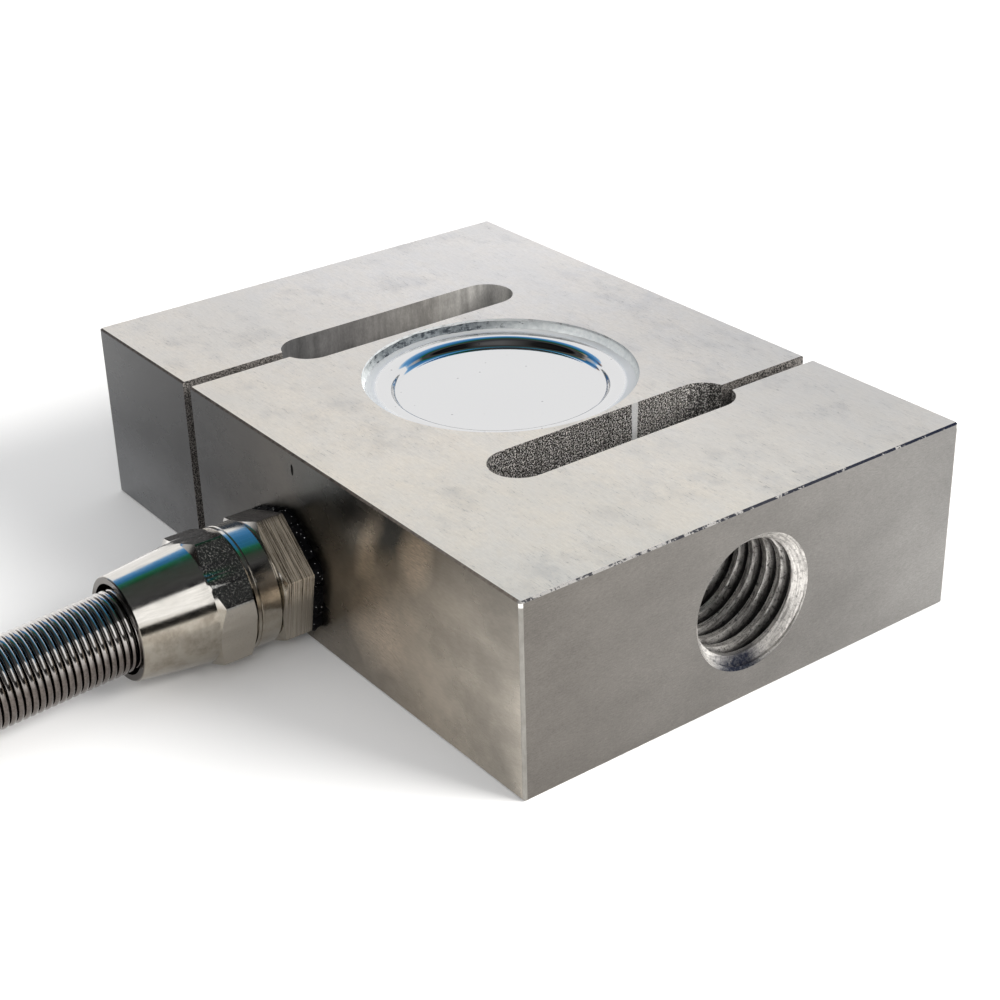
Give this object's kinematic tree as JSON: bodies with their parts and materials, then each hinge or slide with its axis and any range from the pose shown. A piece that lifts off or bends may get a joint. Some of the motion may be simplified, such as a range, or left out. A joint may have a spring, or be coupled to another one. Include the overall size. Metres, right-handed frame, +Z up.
{
  "type": "s type load cell",
  "caption": "S shaped steel load cell with two slots, two pressed covers, a threaded hole in each end and a cable with a spring guard.",
  "frame": {"origin": "centre of the block's bottom face, the block lying flat on one broad face", "axes": "+Z up, square to the broad faces; +X along the load axis, through the two threaded ends; the cable gland points along -Y"},
  "size_m": [0.1269, 0.2157, 0.0265],
  "materials": {
    "machined_steel": "ground and brushed steel with light tool marks",
    "polished_cover": "mirror polished pressed steel",
    "sealant": "rough grey sealant",
    "gauge_film": "amber film with a foil grid",
    "clear_coating": "soft milky silicone",
    "board": "glass fibre board with tinned pads",
    "resistor_body": "enamelled winding",
    "core_insulation": "thin plastic insulation",
    "lead_wire": "enamelled copper",
    "black_seal": "rough black rubber",
    "plated_brass": "nickel plated brass, turned and milled",
    "grommet_rubber": "plain black rubber",
    "spring_steel": "bright flat spring wire, close wound",
    "cable_jacket": "satin black jacket",
    "shrunk_sleeve": "shrunk black sleeve",
    "red_core": "red insulation, tinned end",
    "black_core": "black insulation, tinned end",
    "green_core": "green insulation, tinned end",
    "white_core": "white insulation, tinned end",
    "drain_metal": "tinned stranded wire"
  },
  "bodies": {
    "root": {"body_block": "machined_steel", "cover_top": "polished_cover", "cover_bottom": "polished_cover", "cover_bead_top": "sealant", "cover_bead_bottom": "sealant", "strain_gauge_upper": "gauge_film", "strain_gauge_lower": "gauge_film", "gauge_coating_upper": "clear_coating", "gauge_coating_lower": "clear_coating", "terminal_board": "board", "balance_resistor": "resistor_body", "span_resistor": "resistor_body", "inner_cores": "core_insulation", "upper_gauge_leads": "lead_wire", "lower_gauge_leads": "lead_wire", "gland_seal": "black_seal", "gland_body": "plated_brass", "gland_cap": "plated_brass", "gland_clamp_ring": "plated_brass", "gland_grommet": "grommet_rubber", "spring_guard": "spring_steel", "cable": "cable_jacket", "cable_coil": "cable_jacket", "end_sleeve": "shrunk_sleeve", "core_red": "red_core", "core_black": "black_core", "core_green": "green_core", "core_white": "white_core", "drain_wire": "drain_metal"}
  },
  "joints": []
}
